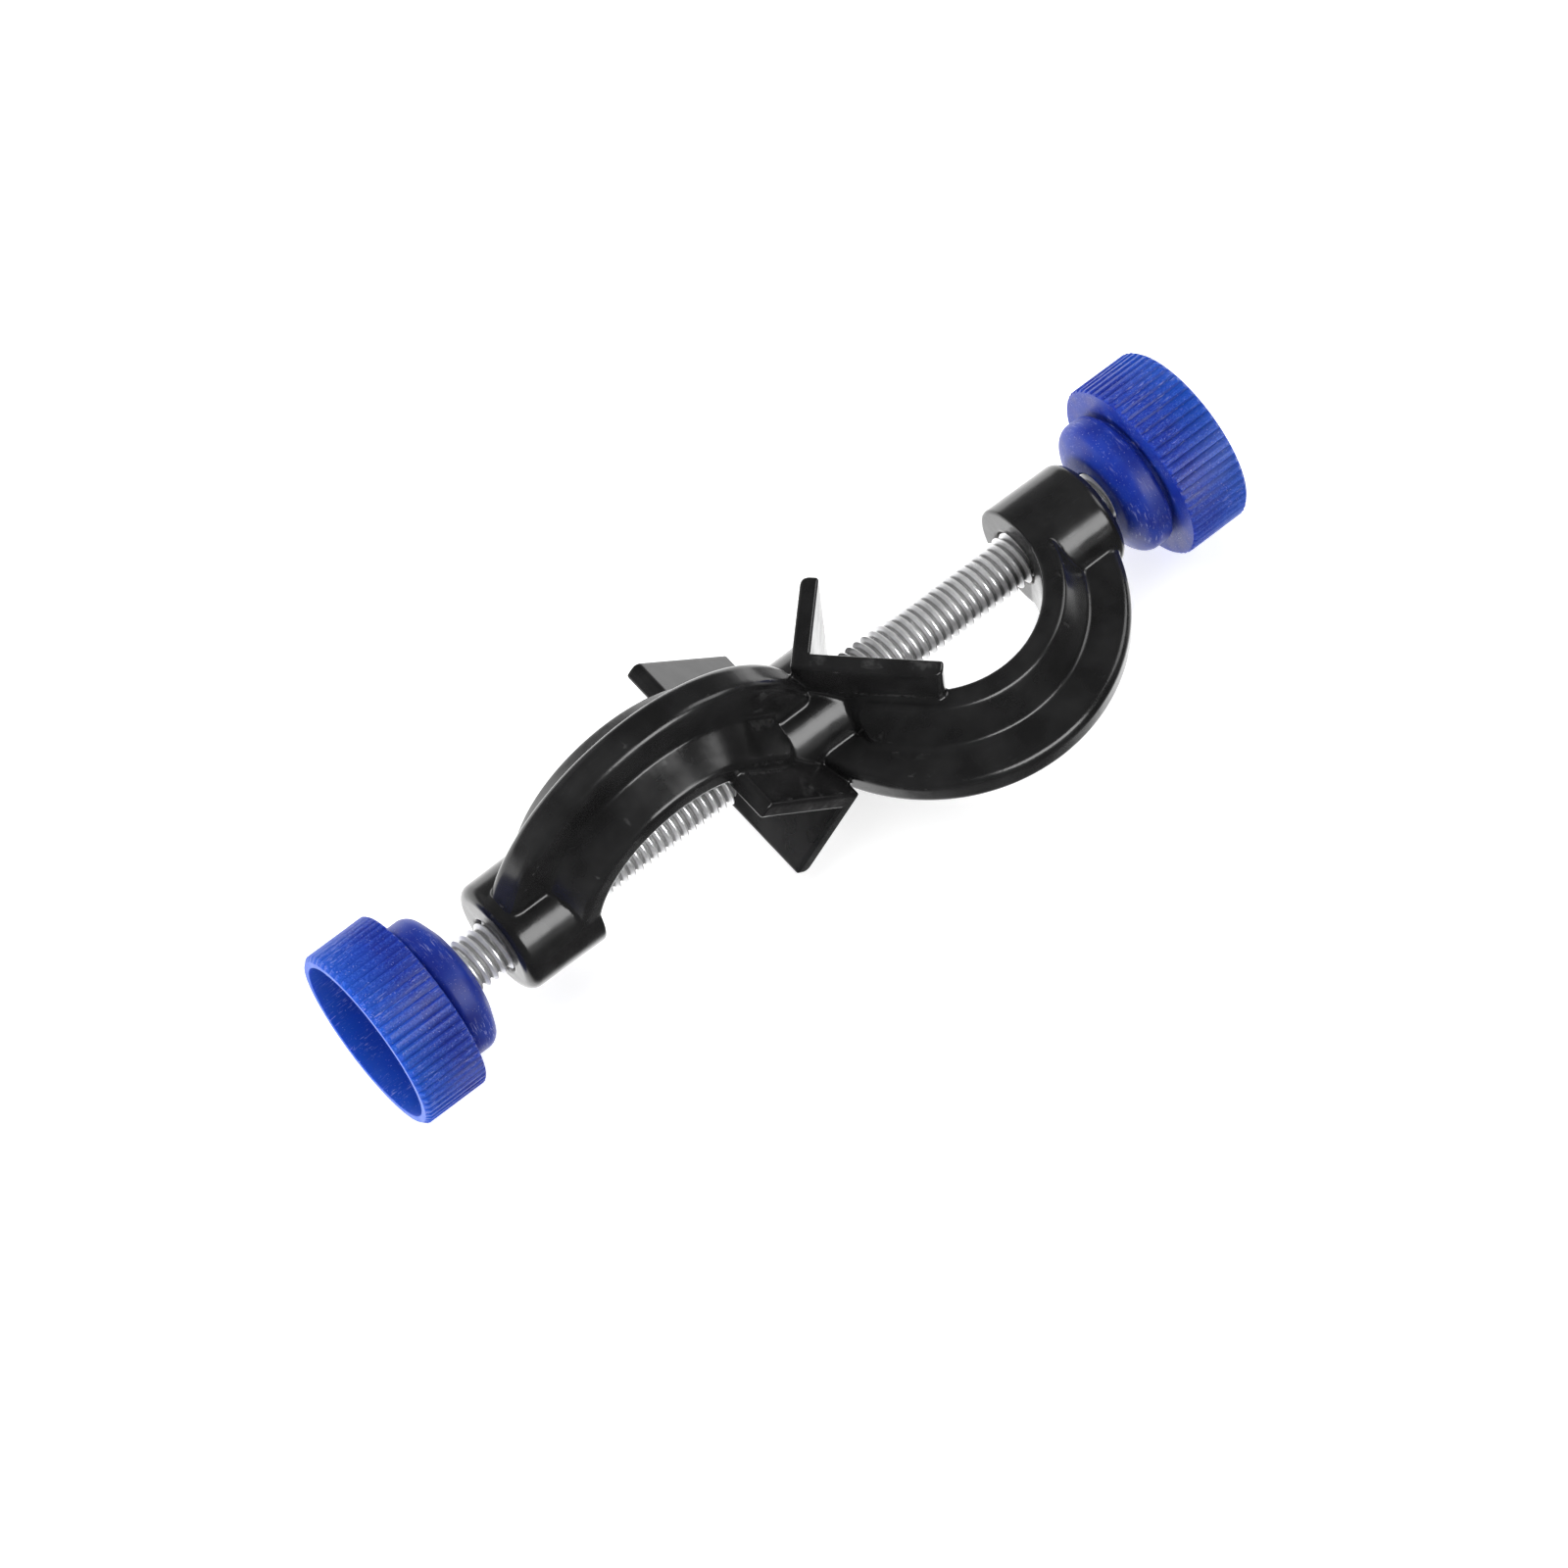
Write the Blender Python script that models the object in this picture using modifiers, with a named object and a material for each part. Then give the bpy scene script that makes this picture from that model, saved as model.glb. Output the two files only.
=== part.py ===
"""Retort stand clamp: a right angle boss head with two thumbscrews.

One cast body has two C jaws in planes at right angles. Each jaw closes on a V shaped seat at the
middle of the body with a thumbscrew, an M6 stud that carries a ribbed plastic cup knob.

Sizes are in millimetres and the model is built in metres. The jaws are drawn in a plane through the
screw axis: X along the axis towards the right knob, and "out" away from the axis towards the jaw's
spine. The right jaw lies in the horizontal plane, with "out" along -Y and its width along Z. The left
jaw is the right one turned half a turn about the line (0, 1, -1), so its spine arches upwards.
"""
import math

import bmesh
import bpy
from mathutils import Matrix, Vector

MM = 0.001

# V seats, one on each side of the middle of the body
SEAT_VERTEX = 2.95          # from the middle of the body to the inner corner of a V
SEAT_PLATE = 1.9            # thickness of the V's plates
SEAT_HALF_LENGTH = 11.1     # half the length of a V, along the bar that it holds
FREE_LEG = 9.1              # inner length of the V's free leg
SPINE_LEG = 13.8            # inner length of the leg that runs along the spine
SEAT_TIP_ROUND = 0.9        # rounding of the outer corner of each leg's tip
SEAT_STEP = 0.64            # height of the seat above the spine's inner face

# Spines of the C jaws
THROAT_RADIUS = 11.7        # inner radius of the C
FLANGE_DEPTH = 2.4          # the wide inner band of the T section
SHOULDER_RISE = 2.4         # height of the slope from the band up to the rib
RIB_DEPTH = 4.4             # from the top of the slope to the rib's back
FLANGE_HALF_WIDTH = 6.0
FLANGE_EDGE = 0.5           # chamfer of the band's inner edges
RIB_HALF_WIDTH = 1.9
RIB_ROUND = 0.8             # rounding of the rib's back edges
SPINE_START = 7.1           # where the spine's band leaves the hub, along its straight run
RIB_SETBACK = 1.0           # how far the rib reaches past the middle of the body
RUN_ANGLE = math.radians(135)   # where the C's arc leaves the straight run, seen from its centre
RIB_END_ANGLE = math.radians(2)     # where the rib ends inside the boss
HUB_RADIUS = 6.0            # round middle of the body between the two V seats

# Bosses that carry the screws
BOSS_LENGTH = 9.7
BOSS_INNER_WALL = 3.0       # wall round the hole at the boss's inner face
BOSS_OUTER_WALL = 2.3       # and at its outer end
BOSS_RELIEF = 0.25          # how far the boss stands proud of the C's inner face
BOSS_EDGE = 0.6             # rounding of the boss's outer edge

# M6 studs
THREAD_RADIUS = 3.0
THREAD_ROOT_RADIUS = 2.4
THREAD_PITCH = 1.0
TIP_RADIUS = 2.2            # radius of the stud's chamfered tip
HEAD_STEP = 1.0             # how far the round head inside the knob stands out past the thread
HEAD_THICKNESS = 1.8
RUNNING_CLEARANCE = 0.2     # radial clearance of the stud in the boss and in the knob

# Knobs
KNOB_RADIUS = 10.5
KNOB_RIBS = 60
RIB_HEIGHT = 0.4
DRUM_LENGTH = 7.6
CUP_WALL = 1.5              # wall of the cup that opens at the knob's outer end
CUP_FLOOR = 1.2             # floor between the cup and the stud's head
BEAD_RADIUS = 7.8
NECK_STEP = 0.9             # the neck behind the bead is this much smaller
NOSE_WALL = 2.0             # flat ring round the stud at the knob's nose
NOSE_LENGTH = 1.4           # slope from the nose up to the bead
BEAD_LENGTH = 2.0
NECK_LENGTH = 1.2
HEAD_DEPTH = 3.4            # from the nose to the stud's head

# Where the screws stand, as the gap between the boss and the knob's nose
RIGHT_GAP = 1.5
LEFT_GAP = 4.6
TIP_GAP = 3.55              # from the right stud's tip to the inner corner of its V

# Facets and tolerances
ARC_STEP = math.radians(5)
ROUND_SIDES = 40
THREAD_SIDES = 12
HEAD_SIDES = 2 * THREAD_SIDES
RIB_ROUND_SEGMENTS = 2
SHARP_ANGLE = math.radians(35)
MARGIN = 1.0                # how far a cutter or a joined solid reaches past the face that it meets
MERGE = 0.000001            # metres

# The spine's straight run lies SEAT_STEP behind the seat, and the C's inner arc is tangent to it
RUN_OFF = SEAT_STEP - SEAT_VERTEX / math.sqrt(2)
THROAT_CENTRE = (THROAT_RADIUS - RUN_OFF) * math.sqrt(2)
SHOULDER_DEPTH = FLANGE_DEPTH + SHOULDER_RISE
BACK = THROAT_RADIUS + SHOULDER_DEPTH + RIB_DEPTH
BORE_RADIUS = THREAD_RADIUS + RUNNING_CLEARANCE
BOSS_INNER_RADIUS = BORE_RADIUS + BOSS_INNER_WALL
BOSS_OUTER_RADIUS = BORE_RADIUS + BOSS_OUTER_WALL
BOSS_FACE = THROAT_CENTRE + THROAT_RADIUS - BOSS_RELIEF
BOSS_END = BOSS_FACE + BOSS_LENGTH
HEAD_RADIUS = THREAD_RADIUS + HEAD_STEP
NOSE_RADIUS = BORE_RADIUS + NOSE_WALL
NECK_RADIUS = BEAD_RADIUS - NECK_STEP
HUB_LENGTH = NOSE_LENGTH + BEAD_LENGTH + NECK_LENGTH
KNOB_LENGTH = HUB_LENGTH + DRUM_LENGTH
CUP_START = HEAD_DEPTH + HEAD_THICKNESS + RUNNING_CLEARANCE + CUP_FLOOR
STUD_REACH = BOSS_END + RIGHT_GAP - TIP_GAP - SEAT_VERTEX

# Turns the right half of the body onto the left one
HALF_TURN = Matrix(((-1, 0, 0, 0), (0, 0, -1, 0), (0, -1, 0, 0), (0, 0, 0, 1)))


def clear_scene():
    for item in list(bpy.data.objects):
        bpy.data.objects.remove(item, do_unlink=True)


def collection(name):
    made = bpy.data.collections.new(name)
    bpy.context.scene.collection.children.link(made)
    return made


def material(name, colour, roughness, metallic):
    made = bpy.data.materials.new(name)
    made.use_nodes = True
    shader = made.node_tree.nodes["Principled BSDF"]
    shader.inputs["Base Color"].default_value = (*colour, 1)
    shader.inputs["Roughness"].default_value = roughness
    shader.inputs["Metallic"].default_value = metallic
    return made


def add_object(name, data, group):
    made = bpy.data.objects.new(name, data)
    group.objects.link(made)
    return made


def arc(centre, radius, start, end):
    """Points on an arc, both ends included, about ARC_STEP apart."""
    steps = max(1, math.ceil(abs(end - start) / ARC_STEP))
    angles = [start + (end - start) * i / steps for i in range(steps + 1)]
    return [(centre[0] + radius * math.cos(a), centre[1] + radius * math.sin(a)) for a in angles]


def evaluated_mesh(item):
    bpy.context.view_layer.update()
    graph = bpy.context.evaluated_depsgraph_get()
    return bpy.data.meshes.new_from_object(item.evaluated_get(graph))


def replace_with_mesh(item, name, group):
    """Swap a curve or a modified object for a plain closed mesh object."""
    mesh = evaluated_mesh(item)
    mesh.name = name
    mesh.transform(item.matrix_world)
    work = bmesh.new()
    work.from_mesh(mesh)
    bmesh.ops.remove_doubles(work, verts=work.verts, dist=MERGE)
    bmesh.ops.recalc_face_normals(work, faces=work.faces)
    work.to_mesh(mesh)
    work.free()
    bpy.data.objects.remove(item, do_unlink=True)
    return add_object(name, mesh, group)


def curve_spline(name, points, closed):
    """A flat curve in the jaw's plane from points given as (along, out) in millimetres."""
    data = bpy.data.curves.new(name, "CURVE")
    data.dimensions = "2D"
    spline = data.splines.new("POLY")
    spline.points.add(len(points) - 1)
    for point, (along, out) in zip(spline.points, points):
        point.co = (along * MM, -out * MM, 0, 1)
    spline.use_cyclic_u = closed
    return data


def outline_solid(name, points, half_thickness, group):
    data = curve_spline(name, points, True)
    data.fill_mode = "BOTH"
    data.extrude = half_thickness * MM
    return replace_with_mesh(add_object(name, data, group), name, group)


def turned_solid(name, profile, sides, group):
    """A profile of (along, radius) points, from axis to axis, turned about the X axis."""
    mesh = bpy.data.meshes.new(name)
    work = bmesh.new()
    verts = [work.verts.new((radius * MM, 0, -along * MM)) for along, radius in profile]
    for first, second in zip(verts, verts[1:]):
        work.edges.new((first, second))
    work.to_mesh(mesh)
    work.free()
    item = add_object(name, mesh, group)
    turn = item.modifiers.new("turn", "SCREW")
    turn.axis = "Z"
    turn.steps = sides
    turn.render_steps = sides
    turn.use_merge_vertices = True
    turn.merge_threshold = MERGE
    turn.use_smooth_shade = False
    item.matrix_world = Matrix.Rotation(math.radians(-90), 4, "Y")
    return replace_with_mesh(item, name, group)


def turned_copy(item, matrix, name, group):
    mesh = item.data.copy()
    mesh.transform(matrix)
    return add_object(name, mesh, group)


def boolean(item, other, operation, group):
    """Join or cut two meshes for good and drop the second."""
    step = item.modifiers.new(operation.lower(), "BOOLEAN")
    step.operation = operation
    step.solver = "EXACT"
    step.object = other
    name = item.name
    made = replace_with_mesh(item, name, group)
    bpy.data.objects.remove(other, do_unlink=True)
    return made


def along_diagonal(run, off):
    """A point in the jaw's plane, from its distance along the 45 degree line and across it."""
    return ((run - off) / math.sqrt(2), (run + off) / math.sqrt(2))


def leg_tip(length):
    """Outline points of a leg's tip in the leg's own frame: (run from the V's corner, thickness)."""
    corner = arc((length - SEAT_TIP_ROUND, SEAT_PLATE - SEAT_TIP_ROUND), SEAT_TIP_ROUND, 0, math.pi / 2)
    return [(length, 0)] + corner


def seat(group):
    """The V: two plates at right angles, extruded along the bar that they hold."""
    half = math.sqrt(0.5)
    inner = (SEAT_VERTEX, 0)
    outer = (SEAT_VERTEX - SEAT_PLATE / half, 0)
    spine_leg = [(SEAT_VERTEX + (run - off) * half, (run + off) * half) for run, off in leg_tip(SPINE_LEG)]
    free_leg = [(SEAT_VERTEX + (run - off) * half, -(run + off) * half) for run, off in leg_tip(FREE_LEG)]
    points = [inner] + spine_leg + [outer] + free_leg[::-1]
    return outline_solid("seat", points, SEAT_HALF_LENGTH, group)


def spine_band(group):
    """The wide band of the C and the slope up to its rib, one section along the inner face."""
    start = along_diagonal(SPINE_START, RUN_OFF)
    path = [start] + arc((THROAT_CENTRE, 0), THROAT_RADIUS, RUN_ANGLE, 0)
    half = [(0, FLANGE_HALF_WIDTH - FLANGE_EDGE), (FLANGE_EDGE, FLANGE_HALF_WIDTH),
            (FLANGE_DEPTH, FLANGE_HALF_WIDTH), (SHOULDER_DEPTH, RIB_HALF_WIDTH)]
    section = half + [(depth, -width) for depth, width in reversed(half)]
    shape = bpy.data.curves.new("band_section", "CURVE")
    shape.dimensions = "2D"
    spline = shape.splines.new("POLY")
    spline.points.add(len(section) - 1)
    for point, (depth, width) in zip(spline.points, section):
        point.co = (depth * MM, width * MM, 0, 1)
    spline.use_cyclic_u = True
    guide = add_object("band_section", shape, group)
    data = curve_spline("band", path, False)
    data.bevel_mode = "OBJECT"
    data.bevel_object = guide
    data.use_fill_caps = True
    made = replace_with_mesh(add_object("band", data, group), "band", group)
    bpy.data.objects.remove(guide, do_unlink=True)
    return made


def spine_rib(group):
    """The narrow rib on the back of the C, from the boss round to the middle of the body."""
    centre = (THROAT_CENTRE, 0)
    sunk = (FLANGE_DEPTH + SHOULDER_DEPTH) / 2
    inner_radius = THROAT_RADIUS + sunk
    end_angle = math.pi - math.acos((THROAT_CENTRE + RIB_SETBACK) / BACK)
    back = arc(centre, BACK, RIB_END_ANGLE, end_angle)
    inner = [(-RIB_SETBACK, (RUN_OFF + sunk) * math.sqrt(2) - RIB_SETBACK)]
    inner += arc(centre, inner_radius, RUN_ANGLE, RIB_END_ANGLE)
    made = outline_solid("rib", back + inner, RIB_HALF_WIDTH, group)
    edges = made.modifiers.new("rounded_edges", "BEVEL")
    edges.width = RIB_ROUND * MM
    edges.segments = RIB_ROUND_SEGMENTS
    edges.limit_method = "ANGLE"
    edges.angle_limit = SHARP_ANGLE
    return replace_with_mesh(made, "rib", group)


def boss(group):
    """The round boss at the end of the C, slightly conical."""
    edge = math.radians(45)
    slope = (BOSS_INNER_RADIUS - BOSS_OUTER_RADIUS) / BOSS_LENGTH
    rim = BOSS_EDGE * math.sin(edge)
    profile = [(BOSS_END, 0), (BOSS_END, BOSS_OUTER_RADIUS - BOSS_EDGE),
               (BOSS_END - BOSS_EDGE + rim, BOSS_OUTER_RADIUS - BOSS_EDGE + rim),
               (BOSS_END - BOSS_EDGE, BOSS_OUTER_RADIUS + slope * BOSS_EDGE),
               (BOSS_FACE, BOSS_INNER_RADIUS), (BOSS_FACE, 0)]
    return turned_solid("boss", profile, ROUND_SIDES, group)


def hub_core(group):
    """The round middle, cut back to the middle of the seats' plates so that it stays out of the Vs."""
    reach = SEAT_VERTEX + HUB_RADIUS
    profile = [(reach, 0), (reach, HUB_RADIUS), (-reach, HUB_RADIUS), (-reach, 0)]
    core = turned_solid("core", profile, ROUND_SIDES, group)
    vertex = SEAT_VERTEX - SEAT_PLATE / math.sqrt(2)
    size = 2 * reach
    wedge = outline_solid("wedge", [(vertex, 0), (vertex + size, size), (vertex + size, -size)], reach, group)
    other = turned_copy(wedge, HALF_TURN, "other_wedge", group)
    core = boolean(core, wedge, "DIFFERENCE", group)
    return boolean(core, other, "DIFFERENCE", group)


def clamp_body(group):
    """The casting: two equal halves and the hub, with a clear hole for each stud."""
    body = hub_core(group)
    body.name = "clamp_body"
    for part in (seat(group), spine_band(group), spine_rib(group), boss(group)):
        other = turned_copy(part, HALF_TURN, part.name + "_left", group)
        body = boolean(body, part, "UNION", group)
        body = boolean(body, other, "UNION", group)
    hole = [(BOSS_END + MARGIN, 0), (BOSS_END + MARGIN, BORE_RADIUS),
            (BOSS_FACE - MARGIN, BORE_RADIUS), (BOSS_FACE - MARGIN, 0)]
    for turn in (Matrix.Identity(4), HALF_TURN):
        cutter = turned_solid("hole", hole, ROUND_SIDES, group)
        cutter.data.transform(turn)
        body = boolean(body, cutter, "DIFFERENCE", group)
    return body


def thread_surface(name, start, end, group):
    """A closed V thread about X, cut square at both ends, from start to end in millimetres."""
    turns = math.ceil((end - start) / THREAD_PITCH) + 2
    first = start - THREAD_PITCH
    mesh = bpy.data.meshes.new(name)
    work = bmesh.new()
    rows = []
    for row in range(2 * turns + 1):
        radius = THREAD_RADIUS if row % 2 else THREAD_ROOT_RADIUS
        ring = []
        for side in range(THREAD_SIDES):
            angle = 2 * math.pi * side / THREAD_SIDES
            along = first + THREAD_PITCH * (row / 2 + side / THREAD_SIDES)
            place = Vector((along, radius * math.cos(angle), radius * math.sin(angle)))
            ring.append(work.verts.new(place * MM))
        rows.append(ring)
    for lower, upper in zip(rows, rows[1:]):
        for side in range(THREAD_SIDES - 1):
            work.faces.new((lower[side], lower[side + 1], upper[side + 1], upper[side]))
    # the last side of a row meets the first side of the row one pitch on
    for row in range(2 * turns - 2):
        work.faces.new((rows[row][-1], rows[row + 2][0], rows[row + 3][0], rows[row + 1][-1]))
    for place, normal in ((start, -1), (end, 1)):
        cut = bmesh.ops.bisect_plane(work, geom=work.verts[:] + work.edges[:] + work.faces[:],
                                     plane_co=(place * MM, 0, 0), plane_no=(normal, 0, 0), clear_outer=True)
        rim = [part for part in cut["geom_cut"] if isinstance(part, bmesh.types.BMEdge)]
        bmesh.ops.contextual_create(work, geom=rim)
    bmesh.ops.remove_doubles(work, verts=work.verts, dist=MERGE)
    bmesh.ops.recalc_face_normals(work, faces=work.faces)
    work.to_mesh(mesh)
    work.free()
    return add_object(name, mesh, group)


def stud(name, nose, group):
    """The right hand stud: thread, chamfered tip and the round head that the knob holds."""
    tip = nose - STUD_REACH
    head = nose + HEAD_DEPTH
    chamfer = THREAD_RADIUS - TIP_RADIUS
    thread_end = head + HEAD_THICKNESS / 2
    item = thread_surface(name, tip, thread_end, group)
    reach = THREAD_RADIUS + chamfer
    length = thread_end - tip
    envelope = [(thread_end + MARGIN, 0), (thread_end + MARGIN, reach), (tip + length / 2, reach),
                (tip + reach - TIP_RADIUS, reach), (tip, TIP_RADIUS), (tip, 0)]
    item = boolean(item, turned_solid("envelope", envelope, HEAD_SIDES, group), "INTERSECT", group)
    disc = [(head + HEAD_THICKNESS, 0), (head + HEAD_THICKNESS, HEAD_RADIUS), (head, HEAD_RADIUS), (head, 0)]
    return boolean(item, turned_solid("disc", disc, HEAD_SIDES, group), "UNION", group)


def drum_outline():
    """The ribbed outline of the knob: a sharp ridge and a valley for each rib."""
    points = []
    low = KNOB_RADIUS - RIB_HEIGHT
    for rib in range(KNOB_RIBS):
        ridge = 2 * math.pi * rib / KNOB_RIBS
        valley = ridge + math.pi / KNOB_RIBS
        points.append((KNOB_RADIUS * math.cos(ridge), KNOB_RADIUS * math.sin(ridge)))
        points.append((low * math.cos(valley), low * math.sin(valley)))
    return points


def knob(name, nose, group):
    """The right hand knob: ribbed drum open at its outer end, neck, bead and a pocket for the stud."""
    drum = outline_solid(name, drum_outline(), DRUM_LENGTH / 2, group)
    middle = nose + HUB_LENGTH + DRUM_LENGTH / 2
    drum.data.transform(Matrix.Translation((middle * MM, 0, 0)) @ Matrix.Rotation(math.pi / 2, 4, "Y"))
    bead_front = nose + NOSE_LENGTH
    bead_back = bead_front + BEAD_LENGTH
    profile = [(nose + HUB_LENGTH + MARGIN, 0), (nose + HUB_LENGTH + MARGIN, NECK_RADIUS),
               (bead_back + NECK_STEP, NECK_RADIUS), (bead_back, BEAD_RADIUS),
               (bead_front, BEAD_RADIUS), (nose, NOSE_RADIUS), (nose, 0)]
    item = boolean(drum, turned_solid("hub", profile, ROUND_SIDES, group), "UNION", group)
    cup_radius = KNOB_RADIUS - CUP_WALL
    knob_end = nose + KNOB_LENGTH
    cup = [(knob_end + MARGIN, 0), (knob_end + MARGIN, cup_radius),
           (nose + CUP_START, cup_radius), (nose + CUP_START, 0)]
    item = boolean(item, turned_solid("cup", cup, ROUND_SIDES, group), "DIFFERENCE", group)
    gap = RUNNING_CLEARANCE
    head = nose + HEAD_DEPTH
    pocket = [(head + HEAD_THICKNESS + gap, 0), (head + HEAD_THICKNESS + gap, HEAD_RADIUS + gap),
              (head - gap, HEAD_RADIUS + gap), (head - gap, BORE_RADIUS), (nose - MARGIN, BORE_RADIUS),
              (nose - MARGIN, 0)]
    return boolean(item, turned_solid("pocket", pocket, HEAD_SIDES, group), "DIFFERENCE", group)


def place(item, origin, parent, paint):
    """Give an object its material, its origin on the screw axis and its parent."""
    item.data.transform(Matrix.Translation(-Vector(origin)))
    item.parent = parent
    item.location = origin
    item.data.materials.clear()
    item.data.materials.append(paint)
    item.data.shade_smooth()
    item.data.set_sharp_from_angle(angle=SHARP_ANGLE)


def main():
    clear_scene()
    clamp = collection("retort_stand_clamp")
    enamel = material("black_enamel", (0.012, 0.012, 0.013), 0.16, 0.0)
    steel = material("plated_steel", (0.62, 0.62, 0.63), 0.28, 1.0)
    plastic = material("blue_plastic", (0.02, 0.05, 0.55), 0.35, 0.0)

    right_nose = BOSS_END + RIGHT_GAP
    left_nose = BOSS_END + LEFT_GAP
    right_end = right_nose + KNOB_LENGTH
    left_end = left_nose + KNOB_LENGTH
    # the origin lies under the middle of the bounding box
    centre = Vector(((left_end - right_end) / 2, (BACK - SEAT_HALF_LENGTH) / 2, SEAT_HALF_LENGTH))
    middle = bpy.data.objects.new("middle_of_body", None)
    middle.location = centre * MM
    clamp.objects.link(middle)

    place(clamp_body(clamp), (0, 0, 0), middle, enamel)
    for side, nose, turn, sign in (("right", right_nose, Matrix.Identity(4), 1),
                                   ("left", left_nose, HALF_TURN, -1)):
        boss_middle = (sign * (BOSS_FACE + BOSS_END) / 2 * MM, 0, 0)
        for item, paint in ((stud(side + "_screw", nose, clamp), steel),
                            (knob(side + "_knob", nose, clamp), plastic)):
            item.data.transform(turn)
            place(item, boss_middle, middle, paint)


main()
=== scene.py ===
import math

import bmesh
import bpy
import numpy as np
from mathutils import Matrix, Vector


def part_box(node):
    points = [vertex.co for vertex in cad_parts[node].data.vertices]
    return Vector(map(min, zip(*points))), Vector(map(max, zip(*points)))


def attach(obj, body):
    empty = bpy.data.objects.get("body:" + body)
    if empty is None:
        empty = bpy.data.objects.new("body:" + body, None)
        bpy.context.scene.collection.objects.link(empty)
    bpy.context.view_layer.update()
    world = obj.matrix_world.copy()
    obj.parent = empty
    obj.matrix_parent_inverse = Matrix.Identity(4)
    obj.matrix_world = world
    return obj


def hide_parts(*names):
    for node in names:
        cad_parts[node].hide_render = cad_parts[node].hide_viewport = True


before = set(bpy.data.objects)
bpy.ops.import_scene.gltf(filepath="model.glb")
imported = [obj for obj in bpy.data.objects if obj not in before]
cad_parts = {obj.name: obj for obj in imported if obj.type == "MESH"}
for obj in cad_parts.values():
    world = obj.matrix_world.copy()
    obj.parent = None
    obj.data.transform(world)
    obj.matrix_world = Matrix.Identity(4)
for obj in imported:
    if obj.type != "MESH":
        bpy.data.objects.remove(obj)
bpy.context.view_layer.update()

MM = 0.001
SLACK = 0.01 * MM               # lengths closer than this count as equal

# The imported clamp's own places: the middle of the body lies on the screws' axis
body_low, body_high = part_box("clamp_body")
right_stud_low, right_stud_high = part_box("right_screw")
right_knob_low, right_knob_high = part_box("right_knob")
left_knob_low, left_knob_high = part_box("left_knob")
stud_middle = (right_stud_low + right_stud_high) / 2
MIDDLE = Vector(((body_low.x + body_high.x) / 2, stud_middle.y, stud_middle.z))
HALF_TURN = Matrix.Rotation(math.pi, 4, Vector((0, 1, -1)))

# V seats, drawn about the middle of the body as the right one
SEAT_VERTEX = 2.95 * MM         # from the middle to the inner corner of the V
SEAT_PLATE = 1.9 * MM
SEAT_HALF_LENGTH = MIDDLE.z - body_low.z
FREE_LEG = 9.1 * MM
SPINE_LEG = 13.8 * MM
SEAT_TIP_ROUND = 0.9 * MM
SEAT_EDGE = 0.28 * MM           # soft edge that the paint leaves

# Spines
SPINE_BACK = body_high.z - MIDDLE.z     # from the screw's axis to the back of the rib
SEAT_STEP = 0.64 * MM
THROAT_RADIUS = 11.7 * MM
THROAT_CENTRE = (THROAT_RADIUS - SEAT_STEP + SEAT_VERTEX / math.sqrt(2)) * math.sqrt(2)
FLANGE_DEPTH = 2.4 * MM
SHOULDER_RISE = 2.4 * MM
FLANGE_HALF_WIDTH = 6.0 * MM
FLANGE_EDGE = 0.5 * MM
SHOULDER_EDGE = 0.4 * MM
RIB_HALF_WIDTH = 1.95 * MM
RIB_ROUND = 1.05 * MM
RUN_TURN = math.radians(135)    # how far the C turns before its straight run to the hub
RUN_TURN_STEPS = 68
BAND_END = 3.7 * MM             # from the middle to the band's square end at the hub
RIB_OVERRUN = 1.0 * MM          # how far the rib reaches past the middle
BAND_END_ROUND = 2.0 * MM       # rounding of the band's corners at the hub
HUB_RADIUS = 6.4 * MM

# Bosses
BOSS_END = body_high.x - MIDDLE.x
BOSS_LENGTH = 9.7 * MM
BOSS_START = BOSS_END - BOSS_LENGTH
BOSS_INNER_RADIUS = 6.5 * MM
BOSS_OUTER_RADIUS = 6.4 * MM
BOSS_SHIFT = 0.7 * MM           # how far the boss lies off its hole, towards the spine
BOSS_EDGE = 1.3 * MM
BORE_RADIUS = 3.2 * MM
BORE_EDGE = 0.25 * MM
CHIP_WIDTH = 0.45 * MM          # how far the paint is chipped off round a hole

# Skin of the casting
VOXEL = 0.15 * MM
CORNER_DEPTH = 0.06 * VOXEL     # how far a vertex of an inner corner lies below its neighbours
CORNER_REACH = 5                # how many vertices a fillet spreads from its corner
MARK_LEVELS = 8
FILLET_PASSES = 30
BODY_TRIANGLES = 190000

# Studs, drawn with the knob's nose at the origin
THREAD_RADIUS = 3.0 * MM
THREAD_ROOT = 2.4 * MM
THREAD_PITCH = 1.0 * MM
TIP_RADIUS = 2.2 * MM
STUD_MARGIN = 0.3 * MM          # how far the tool that trims the stud stands off its crests
HEAD_RADIUS = 4.0 * MM
HEAD_DEPTH = 3.4 * MM
HEAD_THICKNESS = 1.8 * MM
STUD_REACH = right_knob_low.x - right_stud_low.x
HEAD_GAP = 0.2 * MM
TOOTH_STEPS = 16
CREST_STEPS = 1                 # half of the flat crest, in steps from the tooth's middle
FLANK_STEPS = 5
TURN_STEPS = 32

# Knobs, drawn with the nose at the origin
KNOB_LENGTH = right_knob_high.x - right_knob_low.x
KNOB_RADIUS = (right_knob_high.z - right_knob_low.z) / 2
KNOB_RIBS = 60
RIB_STEPS = 6
RIB_WAVE = (-0.25, -0.15, -0.08, -0.03, -0.01, 0.0)     # one rib's height in millimetres, round the knob
DRUM_LENGTH = 7.6 * MM
DRUM_CHAMFER = 0.45 * MM
DRUM_BACK_CHAMFER = 0.22 * MM
CUP_WALL = 1.2 * MM
CUP_DEPTH = 5.6 * MM
CUP_EDGE = 0.12 * MM
THIN_DEPTH = 5 * MM             # how far the painted glow of light through the cup's thin wall reaches, from its rim
FLOOR_RIM = 0.6 * MM            # flat ring round the cup's floor, which lies a step deeper
FLOOR_STEP = 0.15 * MM
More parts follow.
